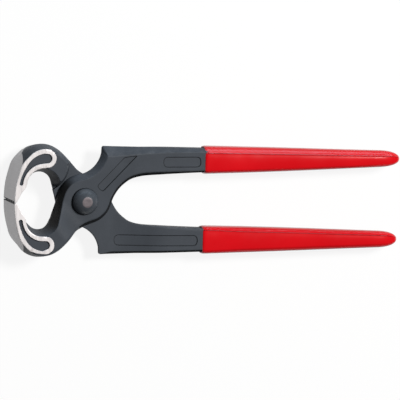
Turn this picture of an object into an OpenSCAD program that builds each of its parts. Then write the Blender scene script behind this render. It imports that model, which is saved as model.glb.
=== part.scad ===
// End cutting nippers of the carpenters' pincers kind: two forged levers that cross
// in a lap joint, one round-head rivet and two plastic handle sleeves.
// The tool lies flat. +Z is the pivot axis, +X runs along the handles, and the origin
// is on the pivot axis, in the plane of the lower ground ribs.

/* [Tool] */
// Distance from the pivot to the outside of the cutting edges
jaw_reach = 42; // [39:0.5:50]
// Distance from the pivot to the ends of the grips
handle_reach = 183; // [150:1:230]
// Height over both jaws
head_h = 63; // [56:0.5:72]
// Width of the jaws across their ground ribs
jaw_w = 25; // [21:0.5:32]
// Distance across the outsides of the two shanks
handle_span = 60; // [54:0.5:70]
// Distance between the centre lines of the two grip tips
tip_span = 44.8; // [38:0.2:60]
// Gap between the cutting edges at rest
edge_gap = 0.6; // [0.4:0.1:2]

/* [Joint] */
// Angle from rest to fully open, where each knuckle lies in its notch
open_angle = 40; // [32:1:44]
// Radius of the joint boss at the lap face
boss_r = 14.7; // [13:0.1:17]
// Thickness of each lever at the lap joint
lap_t = 6.5; // [5:0.1:8]
// Gap between the two lap faces
lap_gap = 0.1; // [0.05:0.01:0.3]
// Radius of the knuckle at the root of each jaw
knuckle_r = 14.6; // [13:0.1:16]
// Angle of the knuckle's centre from the tool's centre line
knuckle_angle = 41; // [37:1:45]
// Running gap of a knuckle beside the boss and in the notch
run_gap = 0.5; // [0.3:0.05:1]

/* [Rivet] */
// Diameter of the rivet's shank
rivet_d = 9; // [6:0.1:12]
// Radial clearance of the rivet in its bores
rivet_fit = 0.05; // [0.02:0.01:0.1]
// Diameter of the round heads
head_d = 15.3; // [13:0.1:18]
// Diameter of the flat ground on each head
flat_d = 6; // [3:0.1:9]
// Gap under each head
head_gap = 0.05; // [0.02:0.01:0.2]

/* [Jaws] */
// Radius of the round end of the mouth
mouth_r = 8.5; // [7:0.1:9.5]
// Thickness of the jaw between its end face and the mouth
jaw_wall = 6.5; // [5:0.1:7.5]
// Thickness of the jaw between its crown and the mouth
crown_wall = 13.7; // [11:0.1:15]
// Distance from the end face to the top of the crown
crown_back = 17.5; // [15:0.1:20]
// Radius of the crown behind its top
crown_r = 20; // [15:0.5:25]
// Width of the flat land of the cutting edge
edge_land = 1.4; // [0.3:0.1:2]
// Length of the cutting bevel along the tool
bevel_len = 4.1; // [3:0.1:5]
// Height of the cutting bevel
bevel_h = 4; // [3:0.1:5]
// Height of the rib pads above the sides of the jaw
pad_h = 1.2; // [0.6:0.1:2]
// Width of the ground rib round each pocket
rib_w = 2.3; // [1.5:0.1:2.8]
// Radius of the round end of each pad
pad_end_r = 5.5; // [4.5:0.05:6.5]
// Distance from the centre line to the narrow end of the pocket
pocket_start = 9.7; // [7:0.1:12]

/* [Levers] */
// Height of the shank where it enters the grip
shank_h = 14.4; // [12:0.1:16.5]
// Thickness of the shank
shank_t = 11.5; // [9:0.1:14]
// Width of the bevel round the outer face of a lever
face_bevel = 2.6; // [1:0.1:3.2]
// Height of the upright edge below that bevel
edge_h = 1.8; // [0.8:0.1:3]
// Radius of the inner bend where a shank leaves the joint
bend_r = 21.2; // [17:0.1:26]
// Free distance between the boss and the circle of the inner bend
bend_gap = 1.85; // [1:0.05:3]
// Distance from the pivot to the start of the shank's thickening
ramp_start = 20; // [14:0.5:26]
// Length over which the shank thickens
ramp_len = 25; // [10:0.5:35]
// Distance from the pivot to the start of the slope up to the jaw
neck_start = 9.5; // [9.1:0.1:12]
// Length of the slope from the joint's face up to the jaw
neck_len = 9.5; // [5:0.1:14]

/* [Grips] */
// Length of each sleeve
grip_len = 114; // [90:1:140]
// Wall thickness of the sleeve
grip_wall = 1.2; // [0.8:0.1:1.8]
// How far the sleeve's mouth stands proud of the shank
grip_lip = 0.5; // [0.2:0.05:0.7]
// Gap between sleeve and tang
grip_fit = 0.1; // [0.05:0.01:0.2]
// Height of the sleeve where its tip begins to round
tip_h = 8.2; // [6.5:0.1:11]
// Thickness of the sleeve where its tip begins to round
tip_t = 8.6; // [6.5:0.1:11]
// Length of the rounded tip
tip_len = 9; // [6:0.5:14]
// Corner radius of the sleeve's section
grip_round = 3.4; // [1.8:0.1:4]
// Solid plastic beyond the end of the tang
tip_solid = 4; // [2:0.5:8]

/* [Hidden] */
$fn = 64;
// Steps in each arc of an outline
arc_steps = 8;
// Steps in each corner of a sleeve's section
corner_steps = 4;
// Angle between two sections of a sleeve's round tip
tip_step = 20;
// Share of a sleeve's section that stays flat at its very tip
tip_flat = 0.1;
// Smallest corner radius of a tang
tang_round = 0.2;
// Smallest distance between two points of an outline
point_gap = 0.01;
// Limit of the lengthening at a sharp corner of an inset outline
corner_limit = 0.5;
// Overlap that joins the solids of one lever
bite = 0.5;
// A length past every edge of a lever, for cutting bodies
far = handle_reach + jaw_reach;
// Angle of the crown's arc, down to the straight back of the jaw
crown_turn = 45;
// Height of the shoulder's upright face, in widths of its bevel
shoulder_share = 1.3;
// Distance of the pad's inner arc behind the arc of the mouth
pad_shift = 2;

mid_z = jaw_w / 2;
jaw_face = mid_z - pad_h;
lap_face = lap_gap / 2;
shank_depth = shank_t - lap_t;
shank_top = handle_span / 2;
shank_bottom = shank_top - shank_h;
grip_x = handle_reach - grip_len;
shank_end = grip_x - grip_fit;
grip_mid_z = (lap_t - shank_depth) / 2;

knuckle_dist = boss_r + run_gap + knuckle_r;
notch_r = knuckle_r + run_gap;
notch_angle = 180 - knuckle_angle - open_angle;
crown_x = crown_back - jaw_reach;
crown_y = -head_h / 2;
mouth_c = [jaw_wall + mouth_r - jaw_reach, crown_y + crown_wall + mouth_r];
edge_y = -edge_gap / 2;

function polar(c, r, a) = c + r * [cos(a), sin(a)];
// An arc from one angle to another, anticlockwise for way 1 and clockwise for way -1
function full_turn(a) = a - 360 * floor(a / 360);
function arc(c, r, from, to, way) =
    let (sweep = way * full_turn(way * (to - from)))
    [for (i = [0:arc_steps]) polar(c, r, from + sweep * i / arc_steps)];
function unit(v) = v / norm(v);
function angle_of(v) = atan2(v[1], v[0]);
// Angle on the first of two circles where their crossing tangent starts, to one side
function cross_tangent(c1, r1, c2, r2, side) =
    angle_of(c2 - c1) + side * acos((r1 + r2) / norm(c2 - c1));
// Points of an outline without those that repeat their neighbour
function distinct(p) = [for (i = [0:len(p) - 1]) if (norm(p[i] - p[(i + 1) % len(p)]) > point_gap) p[i]];
// An anticlockwise outline moved inwards by d
function inset(p, d) = [
    for (i = [0:len(p) - 1])
        let (
            before = unit(p[i] - p[(i + len(p) - 1) % len(p)]),
            after = unit(p[(i + 1) % len(p)] - p[i]),
            n0 = [-before[1], before[0]],
            m = unit(n0 + [-after[1], after[0]])
        ) p[i] + m * d / max(corner_limit, m * n0)
];

knuckle_c = polar([0, 0], knuckle_dist, 180 + knuckle_angle);
notch_c = polar([0, 0], knuckle_dist, notch_angle);

// The notch ends below the corner of the shoulder, which stays wide enough for its bevel
shoulder_h = shoulder_share * face_bevel;
shoulder_turn = min(0, asin((shank_top - shoulder_h - notch_c[1]) / notch_r));

// The boss runs by a straight edge into the mouth
mouth_tangent = cross_tangent([0, 0], boss_r, mouth_c, mouth_r, -1);
mouth_top = polar([0, 0], boss_r, mouth_tangent);
mouth_low = polar(mouth_c, mouth_r, mouth_tangent + 180);
bevel_root = [bevel_len - jaw_reach, -bevel_h];
mouth_left = angle_of(bevel_root - mouth_c) + acos(mouth_r / norm(bevel_root - mouth_c));

// The back of the jaw runs straight from the crown to the boss
back_top = polar([0, 0], boss_r, -90);
crown_c = [crown_x, crown_y + crown_r];
back_low = polar(crown_c, crown_r, crown_turn - 90);

// The boss runs by a straight edge into the inner bend of the shank
bend_y = shank_bottom - bend_r;
bend_c = [sqrt(pow(boss_r + bend_r + bend_gap, 2) - bend_y * bend_y), bend_y];
bend_tangent = cross_tangent([0, 0], boss_r, bend_c, bend_r, -1);

function end_face(shrink, from) = [
    for (i = [0:arc_steps])
        let (t = from + (90 - from) * i / arc_steps)
        [crown_x - (crown_back - shrink) * cos(t), (crown_y + shrink) * sin(t)]
];
edge_turn = asin(edge_gap / head_h);

// Cutting edge from the root of its bevel to the crown
jaw_front = concat(
    [bevel_root, [edge_land - jaw_reach, edge_y]],
    end_face(0, edge_turn)
);

// Jaw and neck as far as the boss
head_outline = distinct(concat(
    [mouth_top],
    arc(mouth_c, mouth_r, mouth_tangent + 180, mouth_left, -1),
    jaw_front,
    arc(crown_c, crown_r, -90, crown_turn - 90, 1),
    [back_top]
));

// Boss, shoulder and shank, with the shank as far as x
function lever_outline(x) = distinct(concat(
    arc([0, 0], boss_r, notch_angle, mouth_tangent, 1),
    [mouth_low, back_low],
    arc([0, 0], boss_r, -90, bend_tangent, 1),
    arc(bend_c, bend_r, bend_tangent + 180, 90, -1),
    [[x, shank_bottom], [x, shank_top]],
    [[notch_c[0] + notch_r, shank_top]],
    arc(notch_c, notch_r, shoulder_turn, notch_angle - 180, -1)
));
// The same moved inwards by d on all sides but the shank's end
function lever_inset(d) = inset(lever_outline(shank_end + d), d);

// Each pad follows the end face, turns round behind the crown and comes back by the mouth
pad_end_c = [crown_x, crown_y + pad_end_r];
pad_in_c = [mouth_c[0] + pad_shift, mouth_c[1]];
pad_in_r = (pad_end_c[1] + pad_end_r < mouth_c[1] - mouth_r)
    ? mouth_c[1] - pad_end_c[1] - pad_end_r
    : mouth_r;
pad_left = angle_of(bevel_root - pad_in_c) + acos(pad_in_r / norm(bevel_root - pad_in_c));
pad_outline = distinct(concat(
    jaw_front,
    arc(pad_end_c, pad_end_r, -90, 90, 1),
    arc(pad_in_c, pad_in_r, 270, pad_left, -1)
));
pocket_in_r = pad_in_r + rib_w;
pocket_turn = asin(pocket_start / (head_h / 2 - rib_w));
pocket_outline = distinct(concat(
    end_face(rib_w, pocket_turn),
    arc(pad_end_c, pad_end_r - rib_w, -90, 90, 1),
    arc(pad_in_c, pocket_in_r, 270, 180 + asin((pocket_start + pad_in_c[1]) / pocket_in_r), -1)
));

// Height, thickness and middle of a sleeve's section at x
round_x = handle_reach - tip_len;
tang_end = round_x - tip_solid;
function along(x) = (x - grip_x) / (round_x - grip_x);
function sleeve_h(x) = (shank_h + 2 * grip_lip) * (1 - along(x)) + tip_h * along(x);
function sleeve_t(x) = (shank_t + 2 * grip_lip) * (1 - along(x)) + tip_t * along(x);
function sleeve_y(x) = (shank_top - shank_h / 2) * (1 - along(x)) + tip_span / 2 * along(x);
// One section: a rectangle with round corners, d inside the sleeve's outside
function section(x, d, k) =
    let (
        h = (sleeve_h(x) / 2 - d) * k,
        t = (sleeve_t(x) / 2 - d) * k,
        r = max(tang_round, grip_round - d) * k
    ) [
        for (q = [0:3], i = [0:corner_steps])
            let (a = 90 * (q + i / corner_steps))
            [
                x,
                sleeve_y(x) + r * cos(a) + (h - r) * (q == 0 || q == 3 ? 1 : -1),
                grip_mid_z + r * sin(a) + (t - r) * (q < 2 ? 1 : -1)
            ]
    ];

// A closed skin over rings of the same number of points
module skin(rings) {
    n = len(rings[0]);
    last = len(rings) - 1;
    polyhedron(
        points = [for (ring = rings, p = ring) p],
        faces = concat(
            [[for (i = [0:n - 1]) i]],
            [for (k = [0:last - 1], i = [0:n - 1]) [k * n + i, (k + 1) * n + i, k * n + (i + 1) % n]],
            [for (k = [0:last - 1], i = [0:n - 1])
                [k * n + (i + 1) % n, (k + 1) * n + i, (k + 1) * n + (i + 1) % n]],
            [[for (i = [n - 1:-1:0]) last * n + i]]
        )
    );
}

function at_height(p, z) = [for (q = p) [q[0], q[1], z]];

// Boss, shoulder and shank in one plate with a bevelled outer face
module lever_plate() {
    difference() {
        skin([
            at_height(lever_outline(shank_end), -shank_depth - bite),
            at_height(lever_outline(shank_end), edge_h),
            at_height(lever_inset(face_bevel), lap_t)
        ]);
        rotate([90, 0, 0])
            linear_extrude(2 * far, center = true)
                polygon([
                    [-far, lap_face],
                    [ramp_start, lap_face],
                    [ramp_start + ramp_len, -shank_depth],
                    [far, -shank_depth],
                    [far, -far],
                    [-far, -far]
                ]);
    }
}

// All that lies under the slope from the joint's outer face up to the jaw
module under_slope() {
    rise = jaw_face - lap_t;
    rotate([90, 0, 180 + knuckle_angle])
        linear_extrude(2 * far, center = true)
            polygon([
                [neck_start - far, lap_t - far * rise / neck_len],
                [neck_start + neck_len, jaw_face],
                [far, jaw_face],
                [far, -2 * far],
                [neck_start - far, -2 * far]
            ]);
}

// The jaw at its full width, which ends towards the pivot in its knuckle
module jaw_shape() {
    intersection() {
        polygon(head_outline);
        union() {
            translate(knuckle_c)
                circle(knuckle_r);
            rotate(180 + knuckle_angle)
                translate([knuckle_dist, -far])
                    square(2 * far);
        }
    }
}

module jaw() {
    intersection() {
        translate([0, 0, -jaw_face])
            linear_extrude(2 * jaw_face)
                jaw_shape();
        under_slope();
    }
    for (side = [0, 1])
        mirror([0, 0, side])
            translate([0, 0, jaw_face - bite])
                linear_extrude(pad_h + bite)
                    intersection() {
                        jaw_shape();
                        difference() {
                            polygon(pad_outline);
                            polygon(pocket_outline);
                        }
                    }
}

module neck() {
    intersection() {
        translate([0, 0, edge_h])
            linear_extrude(jaw_face)
                polygon(lever_inset(face_bevel + bite));
        under_slope();
    }
}

// The part of the lever inside its sleeve
module tang() {
    skin([
        section(shank_end - bite, grip_wall + grip_fit, 1),
        section(tang_end, grip_wall + grip_fit, 1)
    ]);
}

module lever() {
    color("#3f444a")
        difference() {
            union() {
                lever_plate();
                neck();
                jaw();
                tang();
            }
            cylinder(r = rivet_d / 2 + rivet_fit, h = far, center = true);
        }
}

module sleeve() {
    color("#c8121c")
        difference() {
            skin(concat(
                [for (x = [grip_x, round_x]) section(x, 0, 1)],
                [for (a = [tip_step:tip_step:90 - tip_step / 2]) section(round_x + tip_len * sin(a), 0, cos(a))],
                [section(handle_reach, 0, tip_flat)]
            ));
            skin([
                section(grip_x - bite, grip_wall, 1),
                section(tang_end + grip_fit, grip_wall, 1)
            ]);
        }
}

module front_lever() {
    translate([0, 0, mid_z])
        lever();
}

module rear_lever() {
    translate([0, 0, mid_z])
        rotate([180, 0, 0])
            lever();
}

module pivot_rivet() {
    seat = lap_t + head_gap;
    dome_h = mid_z - seat;
    ball_z = (dome_h * dome_h + flat_d * flat_d / 4 - head_d * head_d / 4) / (2 * dome_h);
    color("#565c62")
        translate([0, 0, mid_z]) {
            cylinder(d = rivet_d, h = 2 * seat + 2 * bite, center = true);
            for (side = [0, 1])
                mirror([0, 0, side])
                    translate([0, 0, seat])
                        intersection() {
                            translate([0, 0, ball_z])
                                sphere(r = norm([head_d / 2, ball_z]));
                            cylinder(d = 2 * head_d, h = dome_h);
                        }
        }
}

module upper_grip() {
    translate([0, 0, mid_z])
        sleeve();
}

module lower_grip() {
    translate([0, 0, mid_z])
        rotate([180, 0, 0])
            sleeve();
}

front_lever();
rear_lever();
pivot_rivet();
upper_grip();
lower_grip();
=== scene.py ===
"""Dressed model of a pair of end cutting nippers (carpenters' pincers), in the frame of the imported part.

Lengths are in millimetres until a mesh is made, and heights of a lever are from the tool's mid-plane.
The front lever is modelled; the rear one is the same forging turned over, with label fields of its own.
"""
import math

import bmesh
import bpy
import numpy as np
from mathutils import Matrix, Vector
from mathutils.geometry import delaunay_2d_cdt


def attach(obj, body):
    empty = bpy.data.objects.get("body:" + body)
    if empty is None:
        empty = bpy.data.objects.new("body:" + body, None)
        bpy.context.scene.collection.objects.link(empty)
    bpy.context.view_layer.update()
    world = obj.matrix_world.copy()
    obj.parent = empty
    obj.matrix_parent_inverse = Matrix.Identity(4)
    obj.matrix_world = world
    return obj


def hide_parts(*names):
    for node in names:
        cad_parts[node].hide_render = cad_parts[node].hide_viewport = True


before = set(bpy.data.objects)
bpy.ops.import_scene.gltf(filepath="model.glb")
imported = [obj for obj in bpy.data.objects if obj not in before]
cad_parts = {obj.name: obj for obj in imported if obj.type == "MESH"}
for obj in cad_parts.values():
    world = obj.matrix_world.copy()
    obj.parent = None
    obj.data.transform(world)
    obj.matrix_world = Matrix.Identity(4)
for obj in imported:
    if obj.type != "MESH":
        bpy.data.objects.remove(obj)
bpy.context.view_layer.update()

MM = 0.001

# Heights
MID_Z = 12.5            # the tool's mid-plane above the floor
LAP_Z = 0.05            # lap face
PLATE_Z = 6.5           # outer face of the joint and the shank
JAW_Z = 11.3            # side faces of a jaw
PAD_Z = 12.5            # ground tops of the rib pads
POCKET_Z = 11.45        # floor of a pocket
INNER_Z = -5.0          # inner face of the shank

# Joint and jaw in plan
BOSS_R = 14.7
BORE_R = 4.55
KNUCKLE_C = np.array([-22.49, -19.55])
KNUCKLE_R = 14.6
KNUCKLE_FALL = 4.0      # plan width of the knuckle's drafted wall
KNUCKLE_LINE = 0.5      # width of the painted shade line at the foot of that wall
NOTCH_C = np.array([-4.66, 29.43])
NOTCH_R = 15.1
NOTCH_TURN = -11        # where the notch runs out below the shoulder
NECK_TURN = 99          # where the notch meets the boss, seen from the pivot
NECK_ANGLE = math.radians(221)  # from the pivot to the middle of the knuckle
NECK_DIR = np.array([math.cos(NECK_ANGLE), math.sin(NECK_ANGLE)])
MOUTH_C = np.array([-25.2, -9.3])
MOUTH_R = 6.85          # at the mid-plane; the mouth widens to both sides
CROWN_X = -23.0         # centre of the end face's curve
BACK_X = -20.5          # where the crown runs into the back of the jaw
END_A, END_B = 19.0, 30.2   # half axes of the end face
END_POWER = 2 / 2.2     # the end face is a little squarer than an ellipse
END_STOP = 26.5         # turn at which the ground end face meets the drafted crown
EDGE_Y = -0.28          # half the gap between the cutting edges
BEVEL_ROOT = np.array([-37.7, -5.9])
EDGE = np.array([-40.7, EDGE_Y])    # the land lies between this and the end face
EDGE_END = np.array([CROWN_X - END_A, EDGE_Y])

# Shank
CORNER_C, CORNER_R = np.array([11.4, 29.4]), 1.1    # square shoulder
CORNER_TURN = 177       # where the shoulder's rounding ends
SHANK_END = 73.0        # inside the sleeve
TOP_END, LOW_END = 29.04, 15.95     # outer and inner edge of the shank at its end
ROOF_Y = 22.0           # the outer edge of the shank is above this
BEVEL_RISE = 1.8        # rise of the outer face's bevel for each millimetre of its width
BEVEL_TOP = 4.7         # greatest height of that bevel

# Meshes
RINGS = 7               # rings from an outline to the face inside it
GRID = 1.1              # step of the points inside a face
GRID_ROW = 0.866        # distance between their rows, in steps
GRID_CLEAR = 0.55       # distance that they keep from lines
COARSE_X = -4.0         # their step doubles beyond this
FLAT = 0.02             # height under which a triangle counts as flat in plan


def smooth(t):
    t = np.clip(t, 0.0, 1.0)
    return t * t * (3 - 2 * t)


def along(p, q, t):
    return p * (1 - t) + q * t


def polar(c, r, a):
    return np.array([c[0] + r * math.cos(math.radians(a)), c[1] + r * math.sin(math.radians(a))])


def angle_of(v):
    return math.degrees(math.atan2(v[1], v[0]))


def opening(r, v):
    """Angle between v and the radius to the tangent from its end to a circle of radius r."""
    return math.degrees(math.acos(r / math.hypot(*v)))


def arc(c, r, start, end, step):
    n = max(2, int(abs(math.radians(end - start)) * r / step))
    return np.array([polar(c, r, a) for a in np.linspace(start, end, n + 1)])


def line(p, q, step):
    n = max(1, int(math.dist(p, q) / step))
    return along(np.array(p), np.array(q), np.linspace(0, 1, n + 1)[:, None])


def resample(p, step):
    d = np.concatenate([[0], np.cumsum(np.linalg.norm(np.diff(p, axis=0), axis=1))])
    s = np.linspace(0, d[-1], max(2, int(round(d[-1] / step)) + 1))
    return np.stack([np.interp(s, d, p[:, 0]), np.interp(s, d, p[:, 1])], 1)


def along_loop(p, step):
    return resample(np.vstack([p, p[:1]]), step)[:-1]


def spline(points, step, fine=24):
    """Smooth curve through the points, its knots spaced by the roots of their distances, at an even step."""
    p = np.array(points, float)
    p = np.vstack([2 * p[0] - p[1], p, 2 * p[-1] - p[-2]])
    out = []
    for i in range(1, len(p) - 2):
        t = [0.0]
        for a, b in ((i - 1, i), (i, i + 1), (i + 1, i + 2)):
            t.append(t[-1] + math.sqrt(math.dist(p[a], p[b])))
        for s in np.linspace(t[1], t[2], fine, endpoint=False):
            a1 = (t[1] - s) / t[1] * p[i - 1] + s / t[1] * p[i]
            a2 = (t[2] - s) / (t[2] - t[1]) * p[i] + (s - t[1]) / (t[2] - t[1]) * p[i + 1]
            a3 = (t[3] - s) / (t[3] - t[2]) * p[i + 1] + (s - t[2]) / (t[3] - t[2]) * p[i + 2]
            b1 = (t[2] - s) / t[2] * a1 + s / t[2] * a2
            b2 = (t[3] - s) / (t[3] - t[1]) * a2 + (s - t[1]) / (t[3] - t[1]) * a3
            out.append((t[2] - s) / (t[2] - t[1]) * b1 + (s - t[1]) / (t[2] - t[1]) * b2)
    out.append(p[-2])
    return resample(np.array(out), step)


def bend(s, p, e, count):
    """Points of a rounded corner at p, from s to e."""
    return [(1 - t) ** 2 * s + 2 * t * (1 - t) * p + t * t * e for t in np.linspace(0, 1, count)]


def rounded(points, radii):
    """A closed outline with its corners rounded."""
    out = []
    n = len(points)
    for i, r in enumerate(radii):
        p, a, b = (np.array(points[j % n], float) for j in (i, i - 1, i + 1))
        u, v = (a - p) / np.linalg.norm(a - p), (b - p) / np.linalg.norm(b - p)
        cut = r / math.tan(math.acos(max(-1, min(1, float(u @ v)))) / 2)
        out += bend(p + u * cut, p, p + v * cut, 7)
    return np.array(out)


def normals_of(p, closed):
    """Left-hand normals of a polyline, lengthened at corners so that an offset keeps its width."""
    before = p - np.roll(p, 1, 0)
    after = np.roll(p, -1, 0) - p
    if not closed:
        before[0], after[-1] = after[0], before[-1]
    before = before / np.linalg.norm(before, axis=1)[:, None]
    after = after / np.linalg.norm(after, axis=1)[:, None]
    n0 = np.stack([-before[:, 1], before[:, 0]], 1)
    m = n0 + np.stack([-after[:, 1], after[:, 0]], 1)
    m = m / np.linalg.norm(m, axis=1)[:, None]
    return m / np.maximum(0.5, (m * n0).sum(1))[:, None]


def offset(p, d, closed=True):
    return p + normals_of(p, closed) * np.broadcast_to(np.asarray(d, float), (len(p),))[:, None]


def inside(poly, pts):
    """Which of the points lie inside a closed outline."""
    x, y = pts[:, 0:1], pts[:, 1:2]
    px, py = poly[:, 0], poly[:, 1]
    qx, qy = np.roll(px, -1), np.roll(py, -1)
    rise = np.where(qy == py, 1e-12, qy - py)
    return (((py > y) != (qy > y)) & (x < (qx - px) * (y - py) / rise + px)).sum(1) % 2 == 1


def distance_to(poly, pts, closed=True):
    """Distance of each point from a polyline."""
    a = poly if closed else poly[:-1]
    b = np.roll(poly, -1, 0) if closed else poly[1:]
    best = np.full(len(pts), 1e9)
    for p, q in zip(a, b):
        e = q - p
        t = np.clip(((pts - p) @ e) / max(1e-12, e @ e), 0, 1)
        best = np.minimum(best, np.linalg.norm(pts - p - t[:, None] * e, axis=1))
    return best


# Plan outline of the front lever at its mid-plane, anticlockwise
END_TURN = math.degrees(math.asin((-EDGE_END[1] / END_B) ** (1 / END_POWER)))
BOSS_TURN = angle_of(MOUTH_C) + 360 - opening(BOSS_R + MOUTH_R, MOUTH_C)
LEFT_TURN = angle_of(BEVEL_ROOT - MOUTH_C) + opening(MOUTH_R, BEVEL_ROOT - MOUTH_C)
MOUTH_TOP = polar((0, 0), BOSS_R, BOSS_TURN)
MOUTH_LOW = polar(MOUTH_C, MOUTH_R, BOSS_TURN + 180)
MOUTH_LEFT = polar(MOUTH_C, MOUTH_R, LEFT_TURN)
BORE = arc((0, 0), BORE_R, 0, 360, 0.6)[:-1]
JAW_CURVE = [(-39.5, -17.0), (-38.6, -20.0), (-37.6, -22.8), (-36.2, -25.5), (-34.0, -28.1), (-31.3, -30.0),
             (-27.9, -31.3), (-24.2, -31.75), (-20.5, -31.3), (-17.2, -30.05), (-14.6, -28.5),
             (-12.5, -26.85), (-10.1, -24.55), (-7.7, -22.0), (-5.3, -19.3), (-3.2, -17.15), (-1.6, -16.0)]
INNER_CURVE = [JAW_CURVE[-1], (1.2, -14.35), (4.8, -13.0), (8.6, -11.55), (12.2, -9.0), (14.7, -5.9),
               (16.2, -2.4), (17.6, 1.6), (20.8, 6.6), (24.2, 9.8), (27.2, 11.8), (32.8, 13.5), (45.0, 14.55),
               (58.0, 15.3), (SHANK_END, LOW_END)]


def end_face(t0, t1, step, shrink=0.0):
    t = np.radians(np.linspace(t0, t1, max(2, int(math.radians(abs(t1 - t0)) * 26 / step))))
    c, s = np.maximum(0, np.cos(t)) ** END_POWER, np.maximum(0, np.sin(t)) ** END_POWER
    return np.stack([CROWN_X - (END_A - shrink) * c, -(END_B - shrink) * s], 1)


def lever_outline():
    """Points of the outline and the kind of edge that each has on the lever's outer side.

    The steps beside the shank's square end and the cutting edge are long, so that offsets don't fold there.
    """
    jaw = spline([end_face(END_STOP, END_STOP, 1)[0], *JAW_CURVE], 0.65)
    turn = int(np.argmax(jaw[:, 0] > BACK_X))
    corner = arc(CORNER_C, CORNER_R, 90, CORNER_TURN, 0.4)
    inner = spline(INNER_CURVE, 0.9)
    top_end = np.array([SHANK_END, TOP_END])
    near_end = along(top_end, corner[0], 0.06)
    mouth_start = along(MOUTH_TOP, MOUTH_LOW, 0.4)
    root_start = along(MOUTH_LEFT, BEVEL_ROOT, 0.5)
    parts = [
        ("plate", line(top_end, near_end, 9.0)),
        ("plate", line(near_end, corner[0], 1.0)),
        ("corner", corner),
        ("plate", line(corner[-1], polar(NOTCH_C, NOTCH_R, NOTCH_TURN), 0.7)),
        ("plate", arc(NOTCH_C, NOTCH_R, NOTCH_TURN, NECK_TURN - 180, 0.8)),
        ("plate", arc((0, 0), BOSS_R, NECK_TURN, BOSS_TURN, 0.8)),
        ("plate", line(MOUTH_TOP, mouth_start, 0.8)),
        ("mouth", line(mouth_start, MOUTH_LOW, 0.8)),
        ("mouth", arc(MOUTH_C, MOUTH_R, BOSS_TURN - 180, LEFT_TURN - 360, 0.5)),
        ("mouth", line(MOUTH_LEFT, root_start, 0.5)),
        ("root", line(root_start, BEVEL_ROOT, 0.5)),
        ("edge", line(BEVEL_ROOT, EDGE, 0.8)),
        ("land", line(EDGE, EDGE_END, 2.0)),
        ("end", end_face(END_TURN, END_STOP, 0.8)),
        ("crown", jaw[:turn + 1]),
        ("back", jaw[turn:]),
        ("plate", inner[:-3]),
        ("plate", line(inner[-4], inner[-1], 9.0)),
        ("plate", line(inner[-1], top_end, 20.0)),
    ]
    pts = np.concatenate([p[:-1] for _, p in parts])
    kinds = [kind for kind, p in parts for _ in p[:-1]]
    return pts, kinds


# Rings on each kind of edge as (inset, a, b): the height of a ring is a + b * height of the face
PROFILES = {
    "mouth": [(0, 0, 0), (0.3, 1.3, 0), (2.5, -1.1, 1), (2.7, -0.5, 1), (2.85, -0.14, 1), (3.1, 0, 1),
              (3.4, 0, 1)],
    "edge": [(0, 0, 0), (0, 4, 0), (0, -0.6, 1), (0.03, -0.14, 1), (0.1, -0.04, 1), (0.22, 0, 1),
             (0.5, 0, 1)],
    "end": [(0, 0, 0), (0, 4, 0), (0, -0.6, 1), (0.04, -0.2, 1), (0.14, -0.05, 1), (0.3, 0, 1),
            (0.65, 0, 1)],
    "crown": [(0, 0, 0), (0.55, 4, 0), (1.65, -0.55, 1), (1.72, -0.24, 1), (1.8, -0.07, 1), (1.92, 0, 1),
              (2.05, 0, 1)],
    "back": [(0, 0, 0), (0.35, 2.2, 0), (1.35, -2.3, 1), (1.85, -0.95, 1), (2.35, -0.3, 1), (3, 0, 1),
             (3.7, 0, 1)],
}
PROFILES["root"] = PROFILES["land"] = PROFILES["edge"]
# Insets and heights on the inner side of the plate, and on the roof of the shank
LOW_PLATE = [(0, 0.95), (0, 0.7), (0, 0.42), (0.07, 0.18), (0.2, 0.05), (0.42, 0), (0.9, 0)]
LOW_ROOF = [(0, 3.2), (0.12, 2.6), (0.45, 1.6), (0.9, 0.6), (1.25, 0.15), (1.5, 0), (2.0, 0)]
# Length over which each kind of edge runs into the next
BLEND = {"edge": 0.4, "land": 0.4, "end": 0.5, "crown": 3.0, "back": 5.0, "plate": 3.0, "mouth": 4.5,
         "root": 4.5}


def knuckle_side(p):
    """Above 0 where a plan point belongs to the jaw at its full width, below 0 on the lap face."""
    beyond = (p - KNUCKLE_C) @ NECK_DIR
    return np.where(beyond > 0, 1.0, KNUCKLE_R - np.linalg.norm(p - KNUCKLE_C, axis=1))


def face_top(p):
    return PLATE_Z + (JAW_Z - PLATE_Z) * smooth((p @ NECK_DIR - 7.8) / 16.0)


def face_low(p):
    return LAP_Z + (INNER_Z - LAP_Z) * smooth((p[:, 0] - 17.5) / 32.0)


def knuckle_face(p):
    """Inner side of a jaw, which falls to the lap face in the drafted wall of the knuckle."""
    back = np.where((p - KNUCKLE_C) @ NECK_DIR > 0, KNUCKLE_R, knuckle_side(p))
    return LAP_Z - (JAW_Z + LAP_Z) * np.clip(back / KNUCKLE_FALL, 0, 1)


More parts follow.
